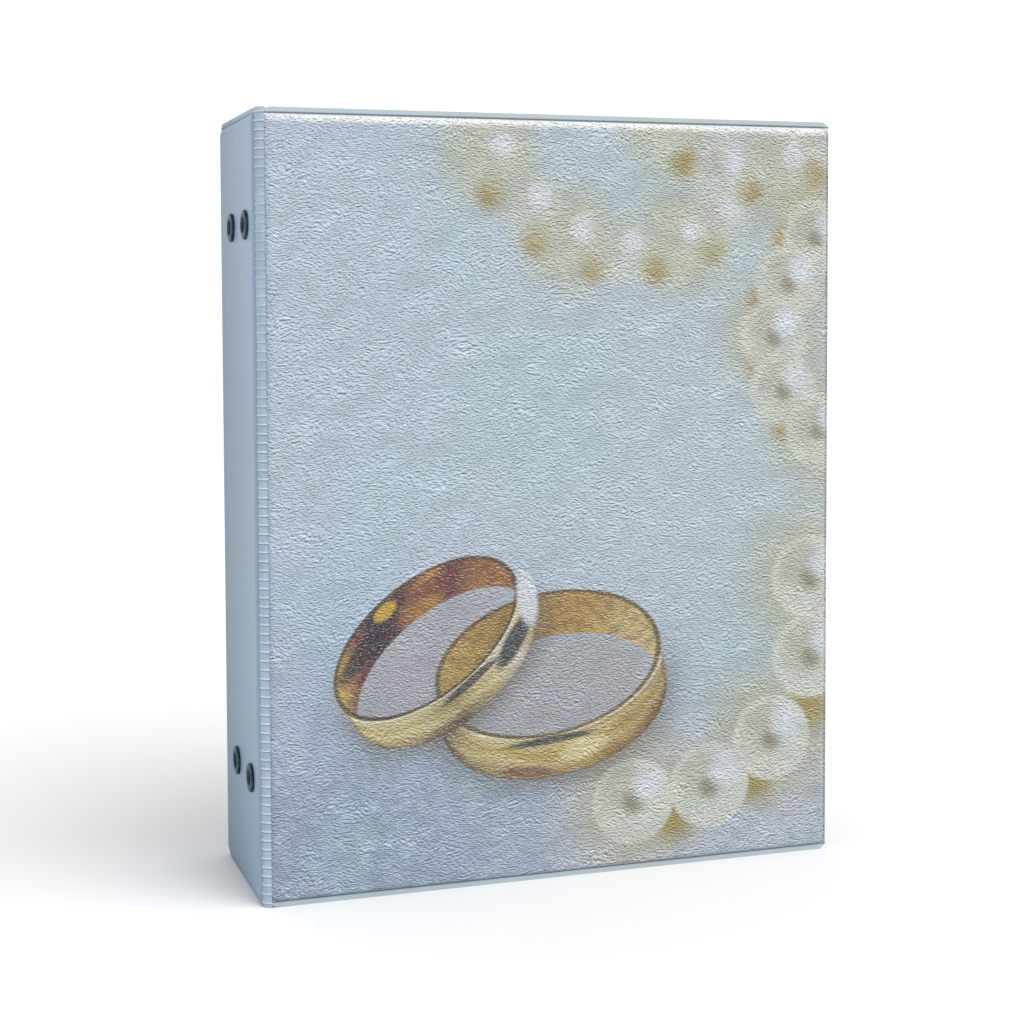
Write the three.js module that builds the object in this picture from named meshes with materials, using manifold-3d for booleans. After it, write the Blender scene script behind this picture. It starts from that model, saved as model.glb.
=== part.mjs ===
// A ring-binder photo album: welded vinyl case, riveted ring mechanism and pocket leaves.
//
// Frame, in millimetres: the closed album stands upright, +Z up. The spine faces -X, the front
// cover faces -Y and the fore-edge is at +X. The origin is at the bottom centre of the whole album.

import * as THREE from "three";
import { mergeVertices } from "three/addons/utils/BufferGeometryUtils.js";
import Module from "manifold-3d";

const wasm = await Module();
wasm.setup();

// Driving dimensions -----------------------------------------------------------------------------

const albumHeight = 280;
const albumWidth = 222; // spine face to fore-edge
const albumDepth = 70; // front cover face to back cover face

const panelThickness = 3.2; // a cover or the spine, over both vinyl sheets
const skinThickness = 0.45;
const layerGap = 0.2; // between pieces that lie on each other
const weldGap = 0.1; // between the two vinyl sheets where they are welded
const flangeWidth = 2.2; // flat welded rim outside a board
const shoulderRadius = 1.1; // where the skin turns over a board's edge
const panelCorner = 2.6;
const flangeCorner = 3.2;

const hingeInset = 3.8; // from the album's corner to the spine's edge, along Y
const hingeReach = 3.9; // from the spine's face to the cover's edge, along X
const hingeThickness = 0.9;
const hingeGap = 0.25; // between the hinge band and the panels that it is welded to

const mechanismOffset = -6; // the ring mechanism's centre line, from the spine's middle, along Y
const mechanismLift = 1.5; // and its middle, above the album's mid-height
const basePlateWidth = 38;
const basePlateOverhang = 8.5; // past the rivets' centres
const basePlateThickness = 1;
const basePlateCorner = 5;

const rivetPitchAlong = 197;
const rivetPitchAcross = 26;
const rivetHeadRadius = 5.25;
const rivetHeadHeight = 1.3;
const rivetBarrelRadius = 3;
const rivetWall = 0.65;
const rivetClenchRadius = 4.4;
const rivetClenchHeight = 0.8;
const rivetClearance = 0.3;

const housingEndRoom = 1.6; // between the housing's end and a rivet's clenched end
const housingWidth = 22;
const housingRise = 7;
const housingWall = 0.9;
const legClearance = 0.7; // round a ring's leg, where it passes through the housing

const bladeEndRoom = 1.8; // between a blade's end and a lever's hub
const bladeThickness = 1;
const bladeRise = 1.3; // blade's underside above the housing's foot
const bladeEdgeInset = 1.8; // blade's outer edge inside the housing's edge
const bladeCorner = 1;
const bladeGap = 0.4; // between the two blades, along the centre line

const wireRadius = 1.8;
const ringCount = 3;
const ringPitch = 70;
const ringLegInset = 3; // leg's centre inside its blade's outer edge
const ringRoom = 4; // between a ring and the front cover, which it needs to open
const ringTipGap = 0.3;
const ringBaseRise = 3; // the round part's start above the housing's crown
const ringLegRise = 0.2; // the leg's straight part above the housing, at the leg
const ringOpening = THREE.MathUtils.degToRad(7);

const leafCount = 20;
const leafGap = 0.4;
const leafSpread = THREE.MathUtils.degToRad(50); // outermost leaf's place round the ring
const leafMargin = 9; // hole's middle to the bound edge
const leafForeEdgeRoom = 2.5; // longest leaf's edge to the cover's flange
const leafEndRoom = 18; // leaf to the cover's ends
const leafCorner = 4;
const holeClearance = 0.8;

const leverWidth = 10;
const leverThickness = 1.4;
const leverHubRadius = 2.2;
const leverInset = 4; // pivot from the housing's end
const leverRise = 2.8; // pivot above the housing's foot
const leverLength = 17;
const leverFlare = 6;
const leverPinRadius = 1;
const leverPinClearance = 0.15;
const leverSlotRoom = 0.8;
const leverPinHead = 0.5; // how far the pin stands out of the housing

// Places worked out from them --------------------------------------------------------------------

const midHeight = albumHeight / 2;
const halfPanel = panelThickness / 2;
const spineHalfWidth = albumDepth / 2 - hingeInset;
const weldPlaneX = halfPanel; // the spine's weld plane
const weldPlaneY = albumDepth / 2 - halfPanel; // the back cover's; the front's is its mirror image
const rivetHeadFace = layerGap + rivetHeadHeight; // how far a rivet head stands out of the spine

const basePlateLength = rivetPitchAlong + 2 * basePlateOverhang;
const housingLength = rivetPitchAlong - 2 * (rivetClenchRadius + housingEndRoom);
const bladeLength = housingLength - 2 * (leverInset + leverHubRadius + bladeEndRoom);

const basePlateX = panelThickness + layerGap;
const housingFootX = basePlateX + basePlateThickness + layerGap;
const housingCrownX = housingFootX + housingRise;
const bladeX = housingFootX + bladeRise;
const bladePivotOffset = housingWidth / 2 - bladeEdgeInset;
const ringLegOffset = bladePivotOffset - ringLegInset;

// How high the housing's outside stands over its foot, at a distance from its centre line.
const housingHeightAt = (offset) => housingRise * Math.sqrt(1 - (2 * offset / housingWidth) ** 2);
const ringLegTopX = housingFootX + housingHeightAt(ringLegOffset) + ringLegRise;

const ringRadius = albumDepth / 2 - panelThickness - Math.abs(mechanismOffset) - wireRadius - ringRoom;
const ringBaseAngle = THREE.MathUtils.degToRad(150); // from the ring's tip round to its base
const ringCentreX = housingCrownX + ringBaseRise - ringRadius * Math.cos(ringBaseAngle);

const leafStackHalf = ringRadius * Math.sin(leafSpread);
const leafPitch = (2 * leafStackHalf) / (leafCount - 1);
const leafThickness = leafPitch - leafGap;
const leafHeight = albumHeight - 2 * leafEndRoom;
const leafWidth = albumWidth - flangeWidth - leafForeEdgeRoom - (ringCentreX + ringRadius) + leafMargin;

// Materials --------------------------------------------------------------------------------------

const finish = (color, roughness, metalness = 0) =>
  new THREE.MeshStandardMaterial({ color, roughness, metalness });

const printedVinyl = finish(0xb9c6d2, 0.45);
const spineVinyl = finish(0x8fa3b5, 0.4);
const liningVinyl = finish(0xdfe3e6, 0.5);
const greyboard = finish(0x8b8378, 0.9);
const gunmetal = finish(0x3a3d40, 0.35, 0.9);
const nickel = finish(0xc9cbcc, 0.25, 1);
const pocketFilm = finish(0xeef1f2, 0.3);

// Solids -----------------------------------------------------------------------------------------

// A closed three.js geometry as a solid that can be joined and cut.
function solidFrom(geometry) {
  const bare = geometry.index ? geometry.toNonIndexed() : geometry.clone();
  bare.deleteAttribute("normal");
  bare.deleteAttribute("uv");
  const merged = mergeVertices(bare, 1e-4);
  const mesh = new wasm.Mesh({
    numProp: 3,
    vertProperties: merged.attributes.position.array,
    triVerts: new Uint32Array(merged.index.array),
  });
  return new wasm.Manifold(mesh);
}

function geometryFrom(solid) {
  const { vertProperties, triVerts } = solid.getMesh();
  const geometry = new THREE.BufferGeometry();
  geometry.setAttribute("position", new THREE.BufferAttribute(new Float32Array(vertProperties), 3));
  geometry.setIndex(new THREE.BufferAttribute(new Uint32Array(triVerts), 1));
  geometry.computeVertexNormals();
  return geometry;
}

function cut(geometry, tools) {
  const left = tools.reduce((body, tool) => body.subtract(solidFrom(tool)), solidFrom(geometry));
  return geometryFrom(left);
}

function join(first, ...others) {
  const whole = others.reduce((body, other) => body.add(solidFrom(other)), solidFrom(first));
  return geometryFrom(whole);
}

function piece(name, geometry, material) {
  const mesh = new THREE.Mesh(geometry, material);
  mesh.name = name;
  return mesh;
}

// A group whose local x and y run along two world directions, so its local z faces x cross y.
function facing(xAxis, yAxis) {
  const group = new THREE.Group();
  const zAxis = new THREE.Vector3().crossVectors(xAxis, yAxis);
  group.setRotationFromMatrix(new THREE.Matrix4().makeBasis(xAxis, yAxis, zAxis));
  return group;
}

const east = new THREE.Vector3(1, 0, 0);
const north = new THREE.Vector3(0, 1, 0);
const up = new THREE.Vector3(0, 0, 1);
const south = north.clone().negate();
const down = up.clone().negate();

// Shapes -----------------------------------------------------------------------------------------

// A rectangle with one radius at its left corners and one at its right corners.
function outline(left, right, halfHeight, leftRadius, rightRadius) {
  const shape = new THREE.Shape();
  shape.absarc(right - rightRadius, halfHeight - rightRadius, rightRadius, 0, Math.PI / 2);
  shape.absarc(left + leftRadius, halfHeight - leftRadius, leftRadius, Math.PI / 2, Math.PI);
  shape.absarc(left + leftRadius, leftRadius - halfHeight, leftRadius, Math.PI, 1.5 * Math.PI);
  shape.absarc(right - rightRadius, rightRadius - halfHeight, rightRadius, 1.5 * Math.PI, 2 * Math.PI);
  return shape;
}

// A slot with round ends, along x.
function slot(left, right, y, radius) {
  const path = new THREE.Path();
  path.absarc(right - radius, y, radius, -Math.PI / 2, Math.PI / 2);
  path.absarc(left + radius, y, radius, Math.PI / 2, 1.5 * Math.PI);
  return path;
}

// A strip of even thickness along a plane curve.
function ribbon(curve, thickness, steps) {
  const side = (k, sign) => {
    const point = curve.getPoint(k / steps);
    const along = curve.getTangent(k / steps);
    return new THREE.Vector2(
      point.x - (sign * along.y * thickness) / 2,
      point.y + (sign * along.x * thickness) / 2,
    );
  };
  const stations = [...Array(steps + 1).keys()];
  const there = stations.map((k) => side(k, -1));
  const back = stations.map((k) => side(k, 1)).reverse();
  return new THREE.Shape([...there, ...back]);
}

function plate(shape, from, to, curveSegments = 2) {
  const geometry = new THREE.ExtrudeGeometry(shape, {
    depth: to - from,
    bevelEnabled: false,
    curveSegments,
  });
  return geometry.translate(0, 0, from);
}

// A cylinder along local z, from one height to another.
function rod(radius, x, y, from, to, segments = 20) {
  return new THREE.CylinderGeometry(radius, radius, to - from, segments)
    .rotateX(Math.PI / 2)
    .translate(x, y, (from + to) / 2);
}

// Welded case ------------------------------------------------------------------------------------

// One of the two vinyl sheets of a panel, in the panel's frame: x across, y up, z outward from the
// weld plane. It lies flat on the weld plane at its rim and stands over the board inside it.
function vinylSheet({ left, right, rim }) {
  const bulgeRight = right - rim;
  const bulgeHalf = midHeight - flangeWidth;
  const crown = new THREE.ExtrudeGeometry(
    outline(
      left + shoulderRadius,
      bulgeRight - shoulderRadius,
      bulgeHalf - shoulderRadius,
      panelCorner - shoulderRadius,
      panelCorner - shoulderRadius,
    ),
    {
      depth: halfPanel - shoulderRadius,
      bevelThickness: shoulderRadius,
      bevelSize: shoulderRadius,
      bevelSegments: 3,
      curveSegments: 2,
    },
  );
  const flangeRadius = rim > 0 ? flangeCorner : panelCorner;
  const sheetFrom = weldGap / 2;
  const flange = plate(
    outline(left, right, midHeight, panelCorner, flangeRadius),
    sheetFrom,
    sheetFrom + skinThickness,
  );
  const belowWeld = plate(outline(left - 1, right + 1, albumHeight, 1, 1), -panelThickness, sheetFrom);
  const hollow = plate(
    outline(
      left + skinThickness,
      bulgeRight - skinThickness,
      bulgeHalf - skinThickness,
      panelCorner - skinThickness,
      panelCorner - skinThickness,
    ),
    -panelThickness,
    halfPanel - skinThickness,
  );
  return cut(join(crown, flange), [belowWeld, hollow]);
}

function boardSheet({ left, right, rim }) {
  const inset = skinThickness + layerGap;
  const halfThickness = halfPanel - inset;
  const corner = panelCorner - inset;
  return plate(
    outline(left + inset, right - rim - inset, midHeight - flangeWidth - inset, corner, corner),
    -halfThickness,
    halfThickness,
  );
}

// A skin, a board and a lining, with the skin on the local +z side.
function weldedPanel(name, size, skinMaterial, holes = []) {
  const panel = new THREE.Group();
  const skin = piece(`${name}_skin`, cut(vinylSheet(size), holes), skinMaterial);
  const board = piece(`${name}_board`, cut(boardSheet(size), holes), greyboard);
  const inside = vinylSheet(size).rotateX(Math.PI);
  const lining = piece(`${name}_lining`, cut(inside, holes), liningVinyl);
  panel.add(skin, board, lining);
  return panel;
}

const coverSize = { left: hingeReach, right: albumWidth, rim: flangeWidth };

function cover(name, out) {
  const group = facing(east, out < 0 ? up : down);
  group.position.set(0, out * weldPlaneY, midHeight);
  group.add(weldedPanel(name, coverSize, printedVinyl));
  return group;
}

const rivetPlaces = [-1, 1].flatMap((end) =>
  [-1, 1].map((side) => ({
    y: mechanismOffset + (side * rivetPitchAcross) / 2,
    z: mechanismLift + (end * rivetPitchAlong) / 2,
  })),
);

// The spine's local x runs along world -Y, so that its skin faces -X.
function spine() {
  const group = facing(south, up);
  group.position.set(weldPlaneX, 0, midHeight);
  const size = { left: -spineHalfWidth, right: spineHalfWidth, rim: 0 };
  const reach = panelThickness;
  const holes = rivetPlaces.map(({ y, z }) =>
    rod(rivetBarrelRadius + rivetClearance, -y, z, -reach, reach),
  );
  group.add(weldedPanel("spine", size, spineVinyl, holes));
  return group;
}

// The soft band between the spine and a cover, as wide as the gap between their boards.
function hingeBand(name, out) {
  const start = new THREE.Vector2(weldPlaneX, out * (spineHalfWidth + hingeGap));
  const end = new THREE.Vector2(hingeReach - hingeGap, out * weldPlaneY);
  const corner = new THREE.Vector2(start.x, end.y);
  const curve = new THREE.QuadraticBezierCurve(start, corner, end);
  const geometry = plate(ribbon(curve, hingeThickness, 5), 0, albumHeight);
  return piece(name, geometry, spineVinyl);
}

// Ring mechanism ---------------------------------------------------------------------------------

// Its frame: x away from the spine, y across, z up, with the origin on the spine's face at the
// mechanism's centre line and the album's mid-height.

function basePlate() {
  const group = facing(north, up);
  const half = basePlateWidth / 2;
  const sheet = plate(
    outline(-half, half, basePlateLength / 2, basePlateCorner, basePlateCorner),
    basePlateX,
    basePlateX + basePlateThickness,
  );
  const holes = rivetPlaces.map(({ y, z }) =>
    rod(
      rivetBarrelRadius + rivetClearance,
      y - mechanismOffset,
      z - mechanismLift,
      basePlateX - 1,
      basePlateX + basePlateThickness + 1,
    ),
  );
  group.add(piece("base_plate", cut(sheet, holes), nickel));
  return group;
}

// A hollow rivet along X: a rolled head on the spine and a clenched end on the base plate.
function rivet(name, { y, z }) {
  const clenchX = basePlateX + basePlateThickness + layerGap;
  const bore = rivetBarrelRadius - rivetWall;
  const crownRadius = (rivetHeadRadius + bore) / 2;
  const at = (radius, x) => new THREE.Vector2(radius, x);
  const profile = [
    at(bore, clenchX + rivetClenchHeight / 2),
    at(bore, -layerGap - rivetHeadHeight / 3),
    at(bore + rivetWall, -layerGap - 0.85 * rivetHeadHeight),
    at(crownRadius, -rivetHeadFace),
    at(rivetHeadRadius - rivetWall, -layerGap - 0.8 * rivetHeadHeight),
    at(rivetHeadRadius, -layerGap - rivetHeadHeight / 3),
    at(rivetHeadRadius - rivetWall / 2, -layerGap),
    at(rivetBarrelRadius, -layerGap),
    at(rivetBarrelRadius, clenchX),
    at(rivetClenchRadius, clenchX),
    at(rivetClenchRadius - rivetWall / 2, clenchX + rivetClenchHeight),
    at(rivetBarrelRadius, clenchX + rivetClenchHeight),
  ];
  const geometry = new THREE.LatheGeometry([...profile, profile[0]], 20).rotateZ(-Math.PI / 2);
  const mesh = piece(name, geometry, gunmetal);
  mesh.position.set(0, y, midHeight + z);
  return mesh;
}

const ringPlaces = [...Array(ringCount).keys()].map((k) => (k - (ringCount - 1) / 2) * ringPitch);
const leverPlace = housingLength / 2 - leverInset;
const leverX = housingFootX + leverRise;

// A half-ellipse of sheet metal over the blades.
function housing() {
  const arch = new THREE.Shape();
  const outer = housingWidth / 2;
  const inner = outer - housingWall;
  const turn = Math.PI / 2;
  arch.absellipse(housingFootX, 0, housingRise, outer, -turn, turn, false, 0);
  arch.absellipse(housingFootX, 0, housingRise - housingWall, inner, turn, -turn, true, 0);
  const tube = plate(arch, -housingLength / 2, housingLength / 2, 9);
  const outward = new THREE.Matrix4().makeBasis(north, up, east);
  const legHole = (y, z) =>
    rod(wireRadius + legClearance, y, z, bladeX + bladeThickness, housingCrownX + 1, 16)
      .applyMatrix4(outward);
  const legHoles = ringPlaces.flatMap((z) => [legHole(-ringLegOffset, z), legHole(ringLegOffset, z)]);
  const slotLength = leverInset + leverHubRadius + leverSlotRoom;
  const slotWidth = leverWidth + 2 * leverSlotRoom;
  const leverSlot = (end) =>
    new THREE.BoxGeometry(housingRise, slotWidth, 2 * slotLength)
      .translate(housingCrownX, 0, (end * housingLength) / 2);
  const pinHole = (end) =>
    rod(leverPinRadius + leverPinClearance, leverX, -end * leverPlace, -outer, outer, 12)
      .rotateX(Math.PI / 2);
  const ends = [leverSlot(-1), leverSlot(1), pinHole(-1), pinHole(1)];
  return piece("ring_housing", cut(tube, [...legHoles, ...ends]), nickel);
}

// The blade on one side of the centre line, with a hole for each ring's leg.
function blade(name, side) {
  const inner = bladeGap / 2;
  const outer = bladePivotOffset;
  const group = facing(north, up);
  const left = side < 0 ? -outer : inner;
  const right = left + outer - inner;
  const sheet = plate(
    outline(left, right, bladeLength / 2, bladeCorner, bladeCorner),
    bladeX,
    bladeX + bladeThickness,
  );
  const holes = ringPlaces.map((z) =>
    rod(wireRadius + layerGap, side * ringLegOffset, z, bladeX - 1, bladeX + bladeThickness + 1, 16),
  );
  group.add(piece(name, cut(sheet, holes), nickel));
  return group;
}

// A plane path as a space curve in the plane z = 0.
class LevelCurve extends THREE.Curve {
  constructor(path) {
    super();
    this.path = path;
  }
  getPoint(t, target = new THREE.Vector3()) {
    const { x, y } = this.path.getPoint(t);
    return target.set(x, y, 0);
  }
}

// Half a ring: a straight leg out of the blade, a bend, and a round part to the tip.
function ringHalf(name, side, z) {
  const baseX = ringCentreX + ringRadius * Math.cos(ringBaseAngle);
  const baseY = ringRadius * Math.sin(ringBaseAngle);
  const bend = (baseX - ringLegTopX) / 2;
  const tipAngle = ringTipGap / 2 / ringRadius;
  const path = new THREE.Path();
  path.moveTo(bladeX, ringLegOffset);
  path.lineTo(ringLegTopX, ringLegOffset);
  path.bezierCurveTo(
    ringLegTopX + bend,
    ringLegOffset,
    baseX - bend * Math.sin(ringBaseAngle),
    baseY + bend * Math.cos(ringBaseAngle),
    baseX,
    baseY,
  );
  path.absarc(ringCentreX, 0, ringRadius, ringBaseAngle, tipAngle, true);
  const section = new THREE.Shape();
  section.absarc(0, 0, wireRadius, 0, 2 * Math.PI);
  const geometry = new THREE.ExtrudeGeometry(section, {
    steps: 18,
    curveSegments: 4,
    extrudePath: new LevelCurve(path),
  });
  const mesh = piece(name, geometry, nickel);
  mesh.position.z = z;
  if (side < 0) mesh.rotation.x = Math.PI;
  return mesh;
}

// A lever on a cross pin at one end of the housing: its foot lifts the blades, its tab stands up.
function lever(name, end) {
  const tab = new THREE.CubicBezierCurve(
    new THREE.Vector2(leverX, 0),
    new THREE.Vector2(leverX + leverLength / 2, 0),
    new THREE.Vector2(leverX + leverLength * 0.8, leverFlare * 0.2),
    new THREE.Vector2(leverX + leverLength, leverFlare),
  );
  const foot = new THREE.LineCurve(
    new THREE.Vector2(leverX, 0),
    new THREE.Vector2(leverX - leverHubRadius / 2, -leverHubRadius),
  );
  const half = leverWidth / 2;
  const body = join(
    plate(ribbon(tab, leverThickness, 8), -half, half),
    plate(ribbon(foot, leverThickness, 1), -half, half),
    rod(leverHubRadius, leverX, 0, -half, half, 16),
  );
  const bore = rod(leverPinRadius + leverPinClearance, leverX, 0, -half - 1, half + 1, 12);
  const group = facing(east, end > 0 ? up : down);
  group.position.z = end * leverPlace;
  group.add(piece(name, cut(body, [bore]), nickel));
  return group;
}

function leverPin(name, end) {
  const wallAt = (housingWidth / 2) * Math.sqrt(1 - (leverRise / housingRise) ** 2);
  const half = wallAt + leverPinHead;
  const group = facing(east, up);
  group.position.z = end * leverPlace;
  group.add(piece(name, rod(leverPinRadius, leverX, 0, -half, half, 12), nickel));
  return group;
}

function ringMechanism() {
  const group = new THREE.Group();
  group.position.set(0, mechanismOffset, midHeight + mechanismLift);
  group.add(basePlate(), housing());
  for (const [word, side] of [["front", -1], ["back", 1]]) {
    group.add(blade(`${word}_blade`, side));
    ringPlaces.forEach((z, k) => group.add(ringHalf(`${word}_ring_half_${k + 1}`, side, z)));
  }
  for (const [word, end] of [["bottom", -1], ["top", 1]]) {
    group.add(lever(`${word}_lever`, end), leverPin(`${word}_lever_pin`, end));
  }
  return group;
}

// Leaves -----------------------------------------------------------------------------------------

// How far the wire reaches along a leaf, where the leaf crosses a ring whose centre is shifted.
function wireSpan(leafOffset, shift) {
  const near = Math.abs(leafOffset - shift.y) - leafThickness / 2;
  const far = near + leafThickness;
  return {
    from: shift.x + Math.sqrt(Math.max(0, (ringRadius - wireRadius) ** 2 - far ** 2)),
    to: shift.x + Math.sqrt((ringRadius + wireRadius) ** 2 - near ** 2),
  };
}

// Half a ring opens about its blade's outer edge, which moves the round part's centre.
const pivotToCentre = new THREE.Vector2(
  ringCentreX - bladeX - bladeThickness / 2,
  bladePivotOffset,
);
const openedCentre = pivotToCentre.clone().rotateAround(new THREE.Vector2(), -ringOpening);
const openShift = openedCentre.sub(pivotToCentre);

// Every leaf has the outermost leaf's holes, long enough for the rings to open through them.
const outermostHole = ringRadius * Math.cos(leafSpread);
const closedSpan = wireSpan(-leafStackHalf, new THREE.Vector2());
const openSpan = wireSpan(-leafStackHalf, openShift);
const holeFrom = closedSpan.from - outermostHole - holeClearance;
const holeTo = openSpan.to - outermostHole + 2 * holeClearance;
const holeRadius = wireRadius + holeClearance;

const leafShape = outline(-leafMargin, leafWidth - leafMargin, leafHeight / 2, leafCorner, leafCorner);
leafShape.holes = ringPlaces.map((z) => slot(holeFrom, holeTo, z + mechanismLift, holeRadius));

function leaf(k) {
  const offset = k * leafPitch - leafStackHalf;
  const group = facing(east, up);
  group.position.set(
    ringCentreX + Math.sqrt(ringRadius ** 2 - offset ** 2),
    mechanismOffset + offset,
    midHeight,
  );
  const name = `leaf_${String(k + 1).padStart(2, "0")}`;
  group.add(piece(name, plate(leafShape, -leafThickness / 2, leafThickness / 2), pocketFilm));
  return group;
}

// Assembly ---------------------------------------------------------------------------------------

const album = new THREE.Group();
album.add(
  cover("front_cover", -1),
  cover("back_cover", 1),
  spine(),
  hingeBand("front_hinge_band", -1),
  hingeBand("back_hinge_band", 1),
  ...rivetPlaces.map((place, k) => rivet(`spine_rivet_${k + 1}`, place)),
  ringMechanism(),
  ...[...Array(leafCount).keys()].map(leaf),
);
album.position.x = -(albumWidth - rivetHeadFace) / 2;

export default album;
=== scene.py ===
"""A ring-binder photo album in a welded, printed vinyl case, standing on its bottom edge.

Everything is in metres in the album's own frame: the spine faces -X, the front cover faces -Y,
+Z is up, and the album stands on z = 0.
"""

import math
import random

import bmesh
import bpy
from mathutils import Matrix, Vector


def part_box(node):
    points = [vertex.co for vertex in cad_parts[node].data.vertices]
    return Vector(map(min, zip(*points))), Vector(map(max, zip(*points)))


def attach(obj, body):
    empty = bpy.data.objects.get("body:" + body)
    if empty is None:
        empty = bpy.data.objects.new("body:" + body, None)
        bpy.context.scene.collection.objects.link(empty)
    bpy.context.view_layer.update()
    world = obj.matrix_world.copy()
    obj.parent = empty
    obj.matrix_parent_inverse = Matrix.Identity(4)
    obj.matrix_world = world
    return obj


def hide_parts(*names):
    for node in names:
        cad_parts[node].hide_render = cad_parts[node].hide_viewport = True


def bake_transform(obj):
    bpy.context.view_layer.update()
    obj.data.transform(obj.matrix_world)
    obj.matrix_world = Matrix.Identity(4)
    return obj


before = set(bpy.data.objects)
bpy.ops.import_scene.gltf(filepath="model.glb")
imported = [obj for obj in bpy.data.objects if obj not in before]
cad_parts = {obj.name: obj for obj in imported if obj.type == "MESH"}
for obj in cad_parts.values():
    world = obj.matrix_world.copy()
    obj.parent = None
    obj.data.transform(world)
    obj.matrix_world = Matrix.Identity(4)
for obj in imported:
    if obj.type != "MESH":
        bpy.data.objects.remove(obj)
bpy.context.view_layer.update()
mm = 0.001

# Studio -----------------------------------------------------------------------------------------
# A plain white floor under a sky that is white at the horizon and greyer overhead, with a soft key
# light from high on the right and a weak fill from behind.

scene = bpy.context.scene
scene.view_settings.view_transform = "Standard"

viewpoint = (-0.23085, -0.64379, 0.21136)
towards_spine, downwards, lean = (math.radians(angle) for angle in (17.62, 2.89, 0.30))
viewer = bpy.data.objects.new("viewer", bpy.data.cameras.new("viewer"))
viewer.data.lens = 62.87
viewer.data.sensor_width = 36
viewer.data.shift_x = 0.0537
viewer.data.shift_y = -0.1139
viewer.data.clip_start = 0.01
viewer.matrix_world = (
    Matrix.Translation(viewpoint)
    @ Matrix.Rotation(-towards_spine, 4, "Z")
    @ Matrix.Rotation(math.radians(90) - downwards, 4, "X")
    @ Matrix.Rotation(-lean, 4, "Z")
)
scene.collection.objects.link(viewer)
scene.camera = viewer

sky = bpy.data.worlds.new("sky")
sky.use_nodes = True
dome = sky.node_tree.nodes
direction = dome.new("ShaderNodeTexCoord")
parts = dome.new("ShaderNodeSeparateXYZ")
fall = dome.new("ShaderNodeMapRange")
fall.interpolation_type = "SMOOTHSTEP"
for name, value in {"From Min": 0.3, "From Max": 0.62, "To Min": 1.12, "To Max": 0.55}.items():
    fall.inputs[name].default_value = value
for out, into in (
    (direction.outputs["Generated"], parts.inputs["Vector"]),
    (parts.outputs["Z"], fall.inputs["Value"]),
    (fall.outputs["Result"], dome["Background"].inputs["Strength"]),
):
    sky.node_tree.links.new(out, into)
dome["Background"].inputs["Color"].default_value = (0.985, 0.995, 1, 1)
scene.world = sky

suns = (
    # name, strength, softness, turn and height in degrees
    ("key_light", 1.9, 50, 38, 52),
    ("fill_light", 0.25, 90, 215, 40),
)
for name, strength, softness, turn, height in suns:
    light = bpy.data.lights.new(name, "SUN")
    light.energy = strength
    light.angle = math.radians(softness)
    lamp = bpy.data.objects.new(name, light)
    lamp.matrix_world = (
        Matrix.Rotation(math.radians(turn), 4, "Z") @ Matrix.Rotation(math.radians(90 - height), 4, "X")
    )
    scene.collection.objects.link(lamp)

ground = bmesh.new()
floor_half = 6
bmesh.ops.create_grid(ground, x_segments=8, y_segments=8, size=floor_half)
floor = bpy.data.objects.new("floor", bpy.data.meshes.new("floor"))
ground.to_mesh(floor.data)
ground.free()
scene.collection.objects.link(floor)

# Welded vinyl skins -----------------------------------------------------------------------------
# The outside of each cover is a sheet of soft vinyl with a leather grain and a printed picture.
# It is pressed over the board and welded to the lining all round, which leaves a flat rim with a
# groove along its inner side. The sides that join a hinge band have no rim.


class Value:
    """A number that varies over a surface: sums and products of it add Math nodes."""

    def __init__(self, finish, socket):
        self.finish = finish
        self.socket = socket

    def maths(self, operation, *values):
        return self.finish.node("Math", {"operation": operation}, dict(enumerate(values)))

    def __add__(self, other):
        return self.maths("ADD", self, other)

    def __sub__(self, other):
        return self.maths("SUBTRACT", self, other)

    def __rsub__(self, other):
        return self.maths("SUBTRACT", other, self)

    def __mul__(self, other):
        return self.maths("MULTIPLY", self, other)

    def __truediv__(self, other):
        return self.maths("DIVIDE", self, other)

    def __pow__(self, other):
        return self.maths("POWER", self, other)

    __radd__ = __add__
    __rmul__ = __mul__

    def whole(self):
        """The largest whole number that isn't above the value."""
        return self.maths("FLOOR", self)

    def root(self):
        return self.maths("SQRT", self.maths("MAXIMUM", self, 0))

    def ramp(self, start, end, low=0.0, high=1.0):
        """Runs smoothly from low to high as the value goes from start to end."""
        limits = {"Value": self, "From Min": start, "From Max": end, "To Min": low, "To Max": high}
        return self.finish.node("MapRange", {"interpolation_type": "SMOOTHSTEP"}, limits)


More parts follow.
